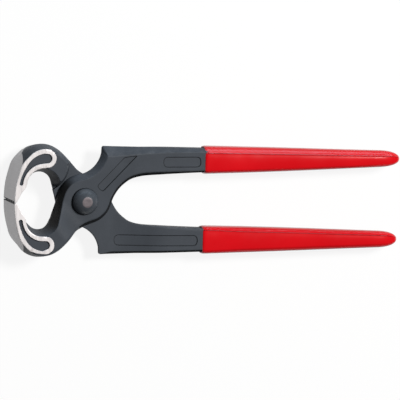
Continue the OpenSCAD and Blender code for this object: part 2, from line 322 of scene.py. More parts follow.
def top_profile(kind, p):
    """Inset, a and b of each ring from the outline to the face, at each point of the outline."""
    o, one = np.zeros(len(p)), np.ones(len(p))
    if kind == "plate":
        roof = (p[:, 1] > ROOF_Y) & (p[:, 0] > CORNER_C[0] - 0.01)
        w = np.where(roof, np.interp(p[:, 0], [16, 26.5, 36, 48, 68], [5.2, 4.0, 3.1, 2.3, 1.6]),
                     2.6 - 1.3 * smooth((p[:, 0] - 18.0) / 50.0))
        h = np.minimum(BEVEL_RISE * w, BEVEL_TOP)
        r = 0.28
        return [(o, -h - 0.35, one), (o + 0.05, 0.02 - h, one), (o + 0.22, 0.04 + 0.22 * h / w - h, one),
                (w - 0.8 * r, -0.8 * r * h / w, one), (w + 0.2 * r, o - 0.4 * r, one),
                (w + 1.65 * r, o, one), (w + 1.65 * r + 0.25, o, one)]
    table = PROFILES[kind]
    if kind == "mouth":
        wide = 1 + 0.12 * smooth((-26.0 - p[:, 0]) / 4.0)
        return [(wide * d, o + a, o + b) for d, a, b in table]
    if kind == "crown":
        deep = smooth((-19.0 - p[:, 1]) / 9.0)
        return [(e + (d - e) * deep, o + a, o + b) for (e, _, _), (d, a, b) in zip(PROFILES["end"], table)]
    return [(o + d, o + a, o + b) for d, a, b in table]


def low_profile(kind, p):
    """The same for the inner side; where the lever is thin, its rounding stays below the outer bevel."""
    if kind == "plate":
        roof = (p[:, 1] > ROOF_Y) & (p[:, 0] > CORNER_C[0])
        grow = np.where(roof, smooth((p[:, 0] - CORNER_C[0]) / 7.0), 0.0)
        wide = 1 + 1.1 * smooth((p[:, 0] - 40.0) / 26.0)
        room = PLATE_Z - BEVEL_TOP - 0.6 - face_low(p)
        tall = np.clip(room / LOW_ROOF[0][1], 0.3, 1)
        return [(wide * d * (1 - grow) + e * grow, wide * a * (1 - grow) + b * tall * grow, np.ones(len(p)))
                for (d, a), (e, b) in zip(LOW_PLATE, LOW_ROOF)]
    return [(d, -a, b) for d, a, b in top_profile(kind, p)]


def edge_rings(outline, kinds, profile_of, split):
    """Plan places of the rings and, for each, the height as a pair (a, b); kinds run into each other."""
    names = sorted(set(kinds) - {"corner"})
    plain = ["plate" if k == "corner" else k for k in kinds]
    step = np.linalg.norm(np.roll(outline, -1, 0) - outline, axis=1)
    station = np.concatenate([[0], np.cumsum(step)[:-1]])
    gap = np.abs(station[:, None] - station[None, :])
    gap = np.minimum(gap, step.sum() - gap)
    reach = np.array([BLEND[k] for k in plain])
    near = np.maximum(0, 1 - gap / reach[:, None]) * step[None, :] * (split[:, None] == split[None, :])
    near /= near.sum(1)[:, None]
    share = {m: near @ np.array([float(k == m) for k in plain]) for m in names}
    sets = {m: profile_of(m, outline) for m in names}
    places, heights = [], []
    turned = np.array([k == "corner" for k in kinds])
    for k in range(RINGS):
        d, a, b = (sum(share[m] * sets[m][k][j] for m in names) for j in range(3))
        p = offset(outline, d)
        if turned.any():
            # The rings of the shoulder draw together in a mitre
            first, last = np.flatnonzero(turned)[[0, -1]]
            aside, down = max(0, d[last + 1] - CORNER_R), max(0, d[first - 1] - CORNER_R)
            stay = np.maximum(0, 1 - d[turned] / CORNER_R)[:, None]
            p[turned] = CORNER_C + (outline[turned] - CORNER_C) * stay + np.array([aside, -down])
            roof = (outline[:, 1] > 29.5) & (outline[:, 0] > CORNER_C[0] - 0.01) & (outline[:, 0] < 20)
            flank = (outline[:, 1] > 21) & (outline[:, 0] < CORNER_C[0]) & ~turned
            p[roof, 0] = np.maximum(p[roof, 0], CORNER_C[0] + aside)
            p[flank, 1] = np.minimum(p[flank, 1], CORNER_C[1] - down)
        places.append(p)
        heights.append((a, b))
    return places, heights


class Sheet:
    """A face of a lever: points with known heights and the lines between them that the mesh keeps."""

    def __init__(self, ring):
        self.xy, self.z, self.edges = [], [], []
        self.ring = ring[:, :2]
        self.loop(ring[:, :2], ring[:, 2])

    def point(self, p, z):
        self.xy.append((float(p[0]), float(p[1])))
        self.z.append(float(z))
        return len(self.xy) - 1

    def loop(self, pts, z, closed=True, first=None, last=None):
        """A line through the points; an open one may start and end at points of the ring."""
        z = np.broadcast_to(z, (len(pts),))
        ids = [self.point(p, h) for p, h in zip(pts, z)]
        ids = ([] if first is None else [first]) + ids + ([] if last is None else [last])
        for a, b in zip(ids, ids[1:] + ids[:1] if closed else ids[1:]):
            if math.dist(self.xy[a], self.xy[b]) > 1e-4:
                self.edges.append((a, b))

    def clear(self, pts, room):
        """Points that lie well inside the ring."""
        return pts[inside(self.ring, pts) & (distance_to(self.ring, pts) > room)]

    def mesh(self, height, hole):
        """Vertices and triangles of the whole face but for the hole."""
        lo, hi = self.ring.min(0), self.ring.max(0)
        row = GRID * GRID_ROW
        grid = np.array([(x, y) for j, y in enumerate(np.arange(lo[1], hi[1], row))
                         for x in np.arange(lo[0] + (j % 2) * GRID / 2, hi[0], GRID)])
        grid = grid[inside(self.ring, grid)]
        every = np.where(grid[:, 0] < COARSE_X, 1, 2)
        ix = np.round((grid[:, 0] - lo[0]) / (GRID / 2)).astype(int)
        iy = np.round((grid[:, 1] - lo[1]) / row).astype(int)
        grid = grid[((ix // 2) % every == 0) & (iy % every == 0)]
        start, end = (np.array([self.xy[e[k]] for e in self.edges]) for k in (0, 1))
        lines = np.concatenate([start, along(start, end, 0.5)])
        grid = grid[[bool(np.min(np.sum((lines - g) ** 2, 1)) > GRID_CLEAR ** 2) for g in grid]]
        xy = [Vector(p) for p in self.xy] + [Vector((float(x), float(y))) for x, y in grid]
        known = np.concatenate([np.array(self.z), height(grid)])
        verts, _, faces, origin, _, _ = delaunay_2d_cdt(xy, self.edges, [], 0, 1e-5, True)
        pts = np.array([tuple(v) for v in verts])
        z = np.array([known[o[0]] if o else np.nan for o in origin])
        lost = np.isnan(z)
        if lost.any():
            z[lost] = height(pts[lost])
        tris = np.array([f for f in faces if len(f) == 3])
        mid = pts[tris].mean(1)
        keep = inside(self.ring, mid) & ~inside(hole, mid)
        return np.column_stack([pts, z]), without_slivers(pts, tris[keep].tolist())


def without_slivers(pts, tris):
    """Gives the points of triangles that are flat in plan to the triangle beside their longest edge."""
    out = dict(enumerate(tris))
    todo = list(out)
    for _ in range(3 * len(tris)):
        if not todo:
            break
        i = todo.pop(0)
        if i not in out:
            continue
        t = out[i]
        sides = [math.dist(pts[t[k]], pts[t[(k + 1) % 3]]) for k in range(3)]
        k = sides.index(max(sides))
        c, a, b = t[k], t[(k + 1) % 3], t[(k + 2) % 3]
        e, f = pts[a] - pts[c], pts[b] - pts[c]
        if abs(e[0] * f[1] - e[1] * f[0]) > FLAT * sides[k]:
            continue
        beside = [j for j, o in out.items() if j != i and a in o and c in o]
        del out[i]
        if beside:
            d = next(v for v in out[beside[0]] if v not in (a, c))
            extra = max(out) + len(tris)
            out[beside[0]], out[extra] = [a, b, d], [b, c, d]
            todo += [beside[0], extra]
    return np.array(list(out.values()))


RIB_W = 2.5             # width of the ground rib round a pocket
PAD_EDGE = (-0.3, 0.0, 0.24)    # foot, shoulder and top of a pad's edge, measured into the pad


class Pad:
    """Ground pad of a jaw: its border, led past the edges of the jaw at both ends, and its dark pocket."""

    def __init__(self, c, r, in_r, lead, far):
        c = np.array(c)
        self.curve = np.concatenate([
            spline([*lead, polar(c, r, -90)], 0.5)[:-1],
            arc(c, r, -90, 90, 0.4),
            spline([polar(c, r, 90), polar(MOUTH_C, in_r, 264)], 0.4)[1:-1],
            arc(MOUTH_C, in_r, 264, 226, 0.4),
            line(polar(MOUTH_C, in_r, 226), (-29, -12), 0.5)[1:],
        ])
        round_jaw = [(-29, 5), (-60, 5), (-60, -45), lead[0] - np.array([0, 12.0])]
        self.region = np.concatenate([self.curve, round_jaw])
        left, back = [], []
        for a in np.linspace(19.7, 84, 42):
            rib = 1.75 + 0.35 * float(smooth((a - 20) / 30)) + far * float(smooth((a - 52) / 32))
            left.append(end_face(a, a, 1, rib)[0])
        for a in np.linspace(266, 186.3, 38):
            back.append(polar(MOUTH_C, in_r + RIB_W - 0.3 * smooth((270 - a) / 80), a))
        turn = arc(c, r - RIB_W, -70, 90, 0.45)
        cap = arc(along(back[-1], left[0], 0.5), math.dist(back[-1], left[0]) / 2, 0, 180, 0.35)
        self.pocket = np.concatenate([left, turn, back[:-1], cap[:-1]])

    def share(self, p):
        """How far a place has risen from the side of the jaw to the top of its pad, from 0 to 1."""
        d = distance_to(self.curve, p, False) * np.where(inside(self.region, p), 1, -1)
        return np.interp(d, PAD_EDGE, [0.0, 0.82, 1.0])


# Pads of the outer side and of the inner side
OUTER_LEAD = [(-38.5, -21.5), (-36.3, -24.2), (-34.0, -26.2), (-31.4, -27.6), (-28.8, -28.35),
              (-26.2, -28.75)]
INNER_LEAD = [(-29, -33.5), (-26.5, -30.8)]
PADS = {1: Pad((-23.5, -23.95), 4.95, 9.7, OUTER_LEAD, 0.7),
        -1: Pad((-23.6, -24.7), 5.2, 10.0, INNER_LEAD, 0.4)}

# Blank label fields: outline and depth
FIELD_WALL = 0.42       # plan width of the walls round a label field
BAND_DIR = np.array([0.6947, 0.7193])
BAND_SIDE = np.array([-0.7193, 0.6947])
BAND_MID = np.array([9.3, 7.74])
BAND_HALF = 2.45


def band_field():
    """The slanting field beside the joint, which ends almost level under the shank's bevel."""
    low = BAND_MID - 1.5 * BAND_DIR
    a, b = low + BAND_HALF * BAND_SIDE, low - BAND_HALF * BAND_SIDE
    reach = [(end - q[1]) / BAND_DIR[1] for q, end in ((a, 24.7), (b, 25.7))]
    corners = [a, b, b + reach[1] * BAND_DIR, a + reach[0] * BAND_DIR]
    return along_loop(rounded(corners, [1.9, 1.9, 0.4, 0.4]), 0.6)


def shank_field(x0, x1, y0, y1, r):
    return along_loop(rounded([(x0, y0), (x1, y0), (x1, y1), (x0, y1)], [r] * 4), 0.6)


FRONT_FIELDS = [(band_field(), 0.5), (shank_field(44.8, 66.6, 18.8, 24.8, 2.7), 0.42)]
REAR_FIELDS = [(shank_field(18.9, 66.1, 19.4, 25.6, 2.9), 0.5)]


def lever_side(outline, kinds, jawed, sign, fields):
    """Rings and face of one side of a lever, sign 1 for the outer side and -1 for the inner one."""
    if sign > 0:
        places, heights = edge_rings(outline, kinds, top_profile, np.zeros(len(outline)))
        face = face_top(places[-1])
    else:
        low = ["plate" if not j else k if k not in ("plate", "corner") else "mouth" if p[1] > -15 else "back"
               for k, j, p in zip(kinds, jawed, outline)]
        places, heights = edge_rings(outline, low, low_profile, jawed)
        face = np.where(jawed, knuckle_face(places[-1]), face_low(places[-1]))
    pad = PADS[sign]
    rings = []
    for p, (a, b) in zip(places, heights):
        rings.append(np.column_stack([p, a + b * (face + pad.share(p) * (sign * PAD_Z - face))]))

    def plain(p):
        if sign > 0:
            return face_top(p)
        return np.where(knuckle_side(p) > 0, knuckle_face(p), face_low(p))

    def height(p):
        z = plain(p)
        z = z + pad.share(p) * (sign * PAD_Z - z)
        z = np.where(inside(pad.pocket, p), sign * POCKET_Z, z)
        for loop, depth in fields:
            z = np.where(inside(loop, p), z - sign * depth, z)
        return z

    sheet = Sheet(rings[-1])
    for shift, z in zip(PAD_EDGE, (JAW_Z, PAD_Z - 0.22, PAD_Z)):
        sheet.loop(sheet.clear(offset(pad.curve, shift, False), 0.2), sign * z, False)
    for shift, z in ((-0.12, PAD_Z), (0.06, PAD_Z - 0.2), (0.4, POCKET_Z)):
        sheet.loop(offset(pad.pocket, shift), sign * z)
    sheet.loop(BORE, plain(BORE))
    for loop, depth in fields:
        sheet.loop(loop, plain(loop))
        foot = offset(loop, FIELD_WALL)
        sheet.loop(foot, plain(foot) - sign * depth)
    if sign < 0:
        def knuckle_arc(shift):
            return sheet.clear(arc(KNUCKLE_C, KNUCKLE_R + shift, -20, 90, 0.7), 0.35)

        low, top = np.flatnonzero(jawed), np.flatnonzero(jawed & (face < 0.02 - JAW_Z))
        sheet.loop(knuckle_arc(0.05), LAP_Z, False, int(low[-1]) + 1, int(low[0]) - 1)
        sheet.loop(knuckle_arc(-KNUCKLE_FALL), -JAW_Z, False, int(top[-1]), int(top[0]))
        curve = knuckle_arc(-KNUCKLE_LINE)
        sheet.loop(curve, knuckle_face(curve), False)
    return rings, *sheet.mesh(height, BORE)


def make_object(name, body, verts, faces, mats, turned=False, fields=None, sharp=38):
    """A piece from vertices about the mid-plane, turned over about the x axis for the rear lever."""
    v = np.array(verts, float)
    if turned:
        v[:, 1:] *= -1
    v[:, 2] += MID_Z
    mesh = bpy.data.meshes.new(name)
    mesh.from_pydata((v * MM).tolist(), [], faces)
    mesh.polygons.foreach_set("material_index", mats)
    for key, values in (fields or {}).items():
        mesh.attributes.new(key, "FLOAT", "POINT").data.foreach_set("value", np.asarray(values, np.float32))
    bm = bmesh.new()
    bm.from_mesh(mesh)
    bmesh.ops.remove_doubles(bm, verts=bm.verts, dist=2e-6)
    bmesh.ops.dissolve_degenerate(bm, edges=bm.edges, dist=1e-7)
    bmesh.ops.delete(bm, geom=[v for v in bm.verts if not v.link_faces], context="VERTS")
    bmesh.ops.recalc_face_normals(bm, faces=bm.faces)
    bm.to_mesh(mesh)
    bm.free()
    mesh.polygons.foreach_set("use_smooth", [True] * len(mesh.polygons))
    mesh.set_sharp_from_angle(angle=math.radians(sharp))
    obj = bpy.data.objects.new(name, mesh)
    bpy.context.scene.collection.objects.link(obj)
    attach(obj, body)
    return obj


def strip(a, b, n, sign=1):
    """Quads between two closed rings of n vertices that start at a and b."""
    quads = [[a + i, a + (i + 1) % n, b + (i + 1) % n, b + i] for i in range(n)]
    return quads if sign > 0 else [q[::-1] for q in quads]


def fan(a, tip, n, sign=1):
    """Triangles from a closed ring of n vertices that starts at a to one vertex."""
    tris = [[a + i, a + (i + 1) % n, tip] for i in range(n)]
    return tris if sign > 0 else [t[::-1] for t in tris]


# Finish of a lever
BLACK, GROUND, END_WALL, MATT_SHADE = 0, 1, 2, 3      # material places; the last is matt and painted darker as shade
RING_WEAR = [0.0, 0.45, 0.35, 0.6, 1.0, 0.2, 0.0]


def is_matt_shade(p, sign, k):
    """Whether an edge of the plate gets the matt finish painted dark as shade: the inner edge outside, the
    outer edge inside.
    """
    if sign > 0:
        return k < 3 and p[0] > -1.7 and p[1] < (LOW_END if p[0] > 3 else 0)
    return k < 5 and p[0] > CORNER_C[0] and p[1] > ROOF_Y


def mouth_shade_on(p):
    """Painted shade on the walls beside the mouth, from 0 to 1."""
    x, y = p[:, 0], p[:, 1]
    return smooth((-6.9 - x) / 5.1) * smooth((y + 15.5) / 4.5) * smooth((x + 24.0) / 3.0) * (y < 14.0)


def lever_object(name, body, turned, front_fields, back_fields):
    outline, kinds = lever_outline()
    n = len(outline)
    jawed = knuckle_side(outline) > 0
    plate = np.array([k in ("plate", "corner", "back") for k in kinds], float)
    on_end = [k in ("end", "crown") and p[0] < CROWN_X for k, p in zip(kinds, outline)]
    verts, faces, mats, wear, mouth_shade = [], [], [], [], []

    def put(points, edge=0.0, dark=0.0):
        start = len(verts)
        verts.extend(points.tolist())
        wear.extend(np.broadcast_to(edge, (len(points),)).tolist())
        mouth_shade.extend(np.broadcast_to(dark, (len(points),)).tolist())
        return start

    def ring_finish(i, k, sign, rings):
        """Material of the quad between rings k and k + 1 that starts at point i."""
        j = (i + 1) % n
        high = np.mean([abs(rings[k + u][v][2]) for u in (0, 1) for v in (i, j)])
        if kinds[i] == "edge" or high > PAD_Z - 0.4:
            return GROUND
        if on_end[i] and k < 3:
            return END_WALL
        # the knuckle's step and the plate's chosen edges get the matt finish painted dark as shade
        knuckle_step = sign < 0 and jawed[i] != jawed[j]
        return MATT_SHADE if knuckle_step or kinds[i] == "plate" and is_matt_shade(outline[i], sign, k) else BLACK

    first_ring = {}
    for sign, fields in ((1, front_fields), (-1, back_fields)):
        rings, sheet, tris = lever_side(outline, kinds, jawed, sign, fields)
        # painted shade beside the mouth on the outer side; the worn edges there are kept dark too
        dark = mouth_shade_on(outline) * (sign > 0)
        starts = []
        for k, (ring, worn) in enumerate(zip(rings, RING_WEAR)):
            starts.append(put(ring, worn * (0.35 + 0.65 * plate) * (1 - dark), dark * (k < 4)))
        base = put(sheet)
        first_ring[sign] = starts[0]
        for k in range(RINGS - 1):
            faces += strip(starts[k], starts[k + 1], n, sign)
            mats += [ring_finish(i, k, sign, rings) for i in range(n)]
        high = np.abs(sheet[tris][:, :, 2]).min(1) > PAD_Z - 0.25
        mid = sheet[tris][:, :, :2].mean(1)
        # the foot of the knuckle's wall and the walls of the label fields get the matt finish painted dark as
        # shade
        from_foot = knuckle_side(mid)
        wall = (sign < 0) & (from_foot > -0.1) & (from_foot < KNUCKLE_LINE)
        for loop, _ in fields:
            wall |= inside(loop, mid) & ~inside(offset(loop, FIELD_WALL), mid)
        for t, bare, matt_shade in zip(tris.tolist(), high, wall):
            faces.append([base + v for v in (t if sign > 0 else t[::-1])])
            mats.append(GROUND if bare else MATT_SHADE if matt_shade else BLACK)
    faces += strip(first_ring[-1], first_ring[1], n)
    # the land between the cutting edges is painted dark as the shade in the gap
    wall_finish = {"edge": GROUND, "land": MATT_SHADE}
    mats += [END_WALL if ends else wall_finish.get(k, BLACK) for k, ends in zip(kinds, on_end)]
    top = put(np.column_stack([BORE, face_top(BORE)]))
    low = put(np.column_stack([BORE, np.full(len(BORE), LAP_Z)]))
    faces += strip(top, low, len(BORE))
    mats += [BLACK] * len(BORE)
    return make_object(name, body, verts, faces, mats, turned, {"edge_wear": wear, "mouth_shade": mouth_shade})


# Handle sleeves
GRIP_X, GRIP_END = 69.0, 183.0
GRIP_TAPER = 174.0      # where a sleeve's taper ends
GRIP_BODY = 73.5        # where its plain rings start, behind the rounded mouth
GRIP_TIP = 172.0        # where its rounded tip starts
GRIP_H = (15.9, 8.2)    # heights of a sleeve at its mouth and at the end of its taper
GRIP_D = (12.5, 8.6)    # depths there
GRIP_Z = 0.75           # height of a sleeve's middle
CREASE_W = 0.4          # width of the painted shade line at the crease between a face and its bevel, on either side
# Rounded mouth from the inside out: distance from the mouth's plane and inset
LIP = [(6.0, 1.5), (1.0, 1.3), (0.25, 0.95), (0.03, 0.7), (0.02, 0.56), (0.15, 0.38), (0.5, 0.18),
       (1.0, 0.06), (1.6, 0.0), (2.8, 0.0)]
TIP_TURNS = (6, 16, 26, 36, 46, 55, 63, 70, 76, 81, 85, 88)
# Corners of a section and the sides that follow them; a corner without radius is a crease
CORNER_RADII = [0.0, 0.8, 1.2, 1.0, 0.0, 1.2, 1.4, 1.2]
SIDE_COUNTS = [3, 4, 2, 9, 2, 4, 2, 9]


def taper(x):
    return np.clip((x - GRIP_X) / (GRIP_TAPER - GRIP_X), 0, 1)


def grip_height(x):
    t = taper(x)
    swell = 0.9 * np.sin(math.pi * t) * (1 - 0.35 * t)
    return GRIP_H[0] + (GRIP_H[1] - GRIP_H[0]) * t + swell + 1.15 * t ** 2.5


def grip_depth(x):
    t = taper(x)
    return GRIP_D[0] + (GRIP_D[1] - GRIP_D[0]) * t + 0.5 * np.sin(math.pi * t)


def grip_middle(x):
    return 22.45 + 0.3 * taper(x) ** 2.5


def bulged(p, q, bulge, count):
    """Points between the ends of a side that is crowned by the bulge."""
    e = q - p
    out = np.array([-e[1], e[0]]) / np.linalg.norm(e)
    return [p + e * s + out * bulge * 4 * s * (1 - s) for s in np.linspace(0, 1, count + 2)[1:-1]]


def grip_section(x, inset, scale):
    """One section: y to the handle's outside, z to the lever's outer face; flat bevels and crowned sides."""
    t = (x - GRIP_X) / (GRIP_END - GRIP_X)
    grow = float(smooth((x - GRIP_X) / 26.0))
    big = (3.2 - 0.7 * t, 3.3 - 0.8 * t)
    low = (1.7 - 0.3 * t, 3.4 - 0.9 * t)
    fine = (1.7 + 0.5 * grow - 0.2 * t, 1.8 + 0.5 * grow - 0.3 * t)
    crown = 0.24 - 0.08 * t
    belly = 0.4 - 0.15 * t
    h, d = grip_height(x) / 2 - belly, grip_depth(x) / 2
    bulges = [0.12, belly, 0.2, crown * 0.8, 0.2, belly, 0.3, crown]
    a = [np.array(p) for p in (
        (h - big[0], d), (h, d - big[1]), (h, -d + fine[1]), (h - fine[0], -d),
        (-h + fine[0], -d), (-h, -d + fine[1]), (-h, d - low[1]), (-h + low[0], d))]
    n = len(a)
    steps = [a[(i + 1) % n] - a[i] for i in range(n)]
    spans = [np.linalg.norm(e) for e in steps]
    ahead = [e / span for e, span in zip(steps, spans)]
    cuts = []
    for i, r in enumerate(CORNER_RADII):
        half = math.acos(float(np.clip(-ahead[i - 1] @ ahead[i], -1, 1))) / 2
        wanted = r / math.tan(half) if r else CREASE_W
        cuts.append(min(wanted, 0.3 * spans[i - 1], 0.3 * spans[i]))
    out, crease_shade = [], []
    for i, r in enumerate(CORNER_RADII):
        s, e = a[i] - ahead[i - 1] * cuts[i], a[i] + ahead[i] * cuts[i]
        turn = bend(s, a[i], e, 4) if r else [s, a[i], e]
        following = (i + 1) % n
        side = bulged(e, a[following] - ahead[i] * cuts[following], bulges[i], SIDE_COUNTS[i])
        out += turn + side
        # the crease's corner carries painted shade
        crease_shade += ([0.0] * 4 if r else [0.0, 1.0, 0.0]) + [0.0] * len(side)
    sec = np.array(out) * np.array([(h - inset) / h, (d - inset) / d]) * scale
    return np.column_stack([np.full(len(sec), x), sec[:, 0] + grip_middle(x), sec[:, 1] + GRIP_Z, crease_shade])


def grip_object(name, body, turned):
    rings = [grip_section(GRIP_X + x, inset, 1.0) for x, inset in LIP]
    rings += [grip_section(x, 0.0, 1.0) for x in np.linspace(GRIP_BODY, GRIP_TIP, 42)]
    for a in TIP_TURNS:
        x = GRIP_TIP + (GRIP_END - GRIP_TIP) * math.sin(math.radians(a))
        rings.append(grip_section(x, 0.0, math.cos(math.radians(a)) ** 0.9))
    m = len(rings[0])
    verts = np.concatenate(rings + [[[GRIP_END, grip_middle(GRIP_END), GRIP_Z, 0.0]]])
    faces = [q for k in range(len(rings) - 1) for q in strip(k * m, (k + 1) * m, m)]
    faces += fan((len(rings) - 1) * m, len(verts) - 1, m)
    faces.append(list(range(m))[::-1])
    crease_shade = {"crease_shade": verts[:, 3]}
    return make_object(name, body, verts[:, :3], faces, [0] * len(faces), turned, crease_shade, sharp=32)


# Rivet
DOME, DISC, SHADE_RIM = 0, 1, 2       # material places; the rim's is painted darker as shade round the dome's foot
RIVET_R = 4.5
DOME_Z, DOME_R = PLATE_Z + 0.06, 7.6
SKIRT = 0.35            # height of the rim under the dome
DISC_R = 2.9
RIM_RINGS = 5           # the last step of the profile with the rim's painted shade
RIVET_STEPS = 72


def rivet_object(name, body):
    rise = PAD_Z - DOME_Z - SKIRT
    centre = (rise ** 2 + DISC_R ** 2 - DOME_R ** 2) / (2 * rise)
    ball = math.hypot(DOME_R, centre)
    profile = [(RIVET_R, 0.0), (RIVET_R, DOME_Z)]
    profile += [(7.3, DOME_Z), (7.52, DOME_Z + 0.08), (DOME_R, DOME_Z + 0.3)]
    top = math.atan2(rise - centre, DISC_R + 0.15)
    low = math.atan2(-centre, DOME_R)
    for t in np.linspace(0, 1, 15)[1:]:
        a = low + (top - low) * t
        profile.append((ball * math.cos(a), DOME_Z + SKIRT + centre + ball * math.sin(a)))
    disc = len(profile)
    profile += [(DISC_R + 0.02, PAD_Z - 0.03), (DISC_R - 0.18, PAD_Z), (1.5, PAD_Z - 0.01),
                (0.6, PAD_Z - 0.015)]
    n = RIVET_STEPS
    verts, faces, mats = [], [], []
    for sign in (1, -1):
        base = len(verts)
        for r, z in profile:
            for i in range(n):
                a = 2 * math.pi * i / n
                verts.append((r * math.cos(a), r * math.sin(a), sign * z))
        verts.append((0, 0, sign * (PAD_Z - 0.015)))
        for k in range(len(profile) - 1):
            faces += strip(base + k * n, base + (k + 1) * n, n, sign)
            # the rim round the dome's foot is painted dark as shade
            mats += [DISC if k >= disc else SHADE_RIM if k <= RIM_RINGS else DOME] * n
        faces += fan(base + (len(profile) - 1) * n, base + len(profile) * n, n, sign)
        mats += [DISC] * n
    return make_object(name, body, verts, faces, mats)


# Materials
BLACK_TONE = (0.058, 0.066, 0.079)
DOME_TONE = (0.062, 0.071, 0.084)
# matt finish painted darker than the steel as shade, on edges, recess walls, the land and the rivet's rim
MATT_SHADE_TONE = (0.026, 0.028, 0.031)
# painted shade on the walls beside the mouth
MOUTH_SHADE_TONE = (0.014, 0.015, 0.016)
WORN_TONE = (0.19, 0.2, 0.215)
RIB_TONE = (0.8, 0.76, 0.76)
DISC_TONE = (0.15, 0.128, 0.137)
WALL_TONE = (0.42, 0.41, 0.415)
GAP_SHADE_TONE = (0.006, 0.006, 0.007)    # painted shade line along the gap between the cutting edges
RED_TONES = ((0.63, 0.002, 0.006), (0.7, 0.003, 0.008))
# painted shade at the sleeves' creases
CREASE_SHADE_TONE = (0.2, 0.0, 0.001)


def shade(tone, k):
    return tuple(k * c for c in tone)


def node_material(name):
    mat = bpy.data.materials.new(name)
    mat.use_nodes = True
    tree = mat.node_tree
    return mat, tree, tree.nodes["Principled BSDF"]


def add(tree, kind, **values):
    node = tree.nodes.new(kind)
    for key, value in values.items():
        if key in node.inputs:
            node.inputs[key].default_value = value
        else:
            setattr(node, key, value)
    return node


def coords(tree):
    return add(tree, "ShaderNodeTexCoord").outputs["Object"]


def attribute(tree, name):
    return add(tree, "ShaderNodeAttribute", attribute_name=name).outputs["Fac"]


def noise(tree, coord, scale, detail=3.0, rough=0.5, stretch=None):
    node = add(tree, "ShaderNodeTexNoise", Scale=scale, Detail=detail, Roughness=rough)
    if stretch:
        put = add(tree, "ShaderNodeMapping", Scale=stretch)
        tree.links.new(coord, put.inputs["Vector"])
        coord = put.outputs["Vector"]
    tree.links.new(coord, node.inputs["Vector"])
    return node.outputs["Fac"]


def ramp(tree, fac, low, high):
    """Colours between two tones over the middle of a noise's range."""
    node = add(tree, "ShaderNodeValToRGB")
    for stop, place, tone in zip(node.color_ramp.elements, (0.3, 0.7), (low, high)):
        stop.position, stop.color = place, (*tone, 1)
    tree.links.new(fac, node.inputs["Fac"])
    return node.outputs["Color"]


def map_range(tree, fac, lo, hi, from_lo=0.3, from_hi=0.7):
    node = add(tree, "ShaderNodeMapRange")
    for key, value in (("From Min", from_lo), ("From Max", from_hi), ("To Min", lo), ("To Max", hi)):
        node.inputs[key].default_value = value
    tree.links.new(fac, node.inputs["Value"])
    return node.outputs["Result"]


def mix_colour(tree, fac, a, b):
    node = add(tree, "ShaderNodeMix", data_type="RGBA")
    tree.links.new(fac, node.inputs["Factor"])
    for socket, value in ((node.inputs[6], a), (node.inputs[7], b)):
        if isinstance(value, tuple):
            socket.default_value = (*value, 1)
        else:
            tree.links.new(value, socket)
    return node.outputs[2]


def maths(tree, op, a, b=None):
    node = add(tree, "ShaderNodeMath", operation=op)
    for socket, value in zip(node.inputs, (a, b)):
        if value is None:
            continue
        if isinstance(value, (int, float)):
            socket.default_value = value
        else:
            tree.links.new(value, socket)
    return node.outputs[0]


def bump(tree, bsdf, fac, strength, distance):
    node = add(tree, "ShaderNodeBump", Strength=strength, Distance=distance)
    tree.links.new(fac, node.inputs["Height"])
    tree.links.new(node.outputs["Normal"], bsdf.inputs["Normal"])


def black_colour(tree, coord, tone):
    """Oxidised steel: a cool dark grey with cloudy patches and fine specks."""
    cloud = ramp(tree, noise(tree, coord, 55, 4), shade(tone, 0.86), shade(tone, 1.1))
    speck = map_range(tree, noise(tree, coord, 2600, 2), 0.0, 0.35, 0.35, 0.75)
    return mix_colour(tree, speck, cloud, shade(tone, 0.72))


def black_steel(name, tone, rough, gloss, worn=True):
    mat, tree, bsdf = node_material(name)
    coord = coords(tree)
    colour = black_colour(tree, coord, tone)
    grain = noise(tree, coord, 1500, 4, 0.6)
    if worn:
        patch = map_range(tree, noise(tree, coord, 240, 4), 0.0, 1.0, 0.42, 0.7)
        wear = maths(tree, "MULTIPLY", attribute(tree, "edge_wear"), patch)
        colour = mix_colour(tree, maths(tree, "MULTIPLY", wear, 0.22), colour, WORN_TONE)
        # painted shade on the walls beside the mouth
        colour = mix_colour(tree, attribute(tree, "mouth_shade"), colour, MOUTH_SHADE_TONE)
    tree.links.new(colour, bsdf.inputs["Base Color"])
    tree.links.new(map_range(tree, grain, rough - 0.07, rough + 0.08), bsdf.inputs["Roughness"])
    bsdf.inputs["Metallic"].default_value = 0.0
    bsdf.inputs["Specular IOR Level"].default_value = gloss
    bump(tree, bsdf, grain, 0.16, 0.00025)
    return mat


def ground_colour(tree, coord, tone, stretch):
    """Bare steel with fine grinding marks, which run along the axis of the smallest stretch."""
    marks = noise(tree, coord, 900, 3, 0.6, stretch)
    return ramp(tree, marks, shade(tone, 0.84), shade(tone, 1.06)), marks


def ground_steel(name, tone, rough, metallic, stretch):
    mat, tree, bsdf = node_material(name)
    colour, marks = ground_colour(tree, coords(tree), tone, stretch)
    tree.links.new(colour, bsdf.inputs["Base Color"])
    tree.links.new(map_range(tree, marks, rough - 0.06, rough + 0.08), bsdf.inputs["Roughness"])
    bsdf.inputs["Metallic"].default_value = metallic
    bump(tree, bsdf, marks, 0.12, 0.00012)
    return mat


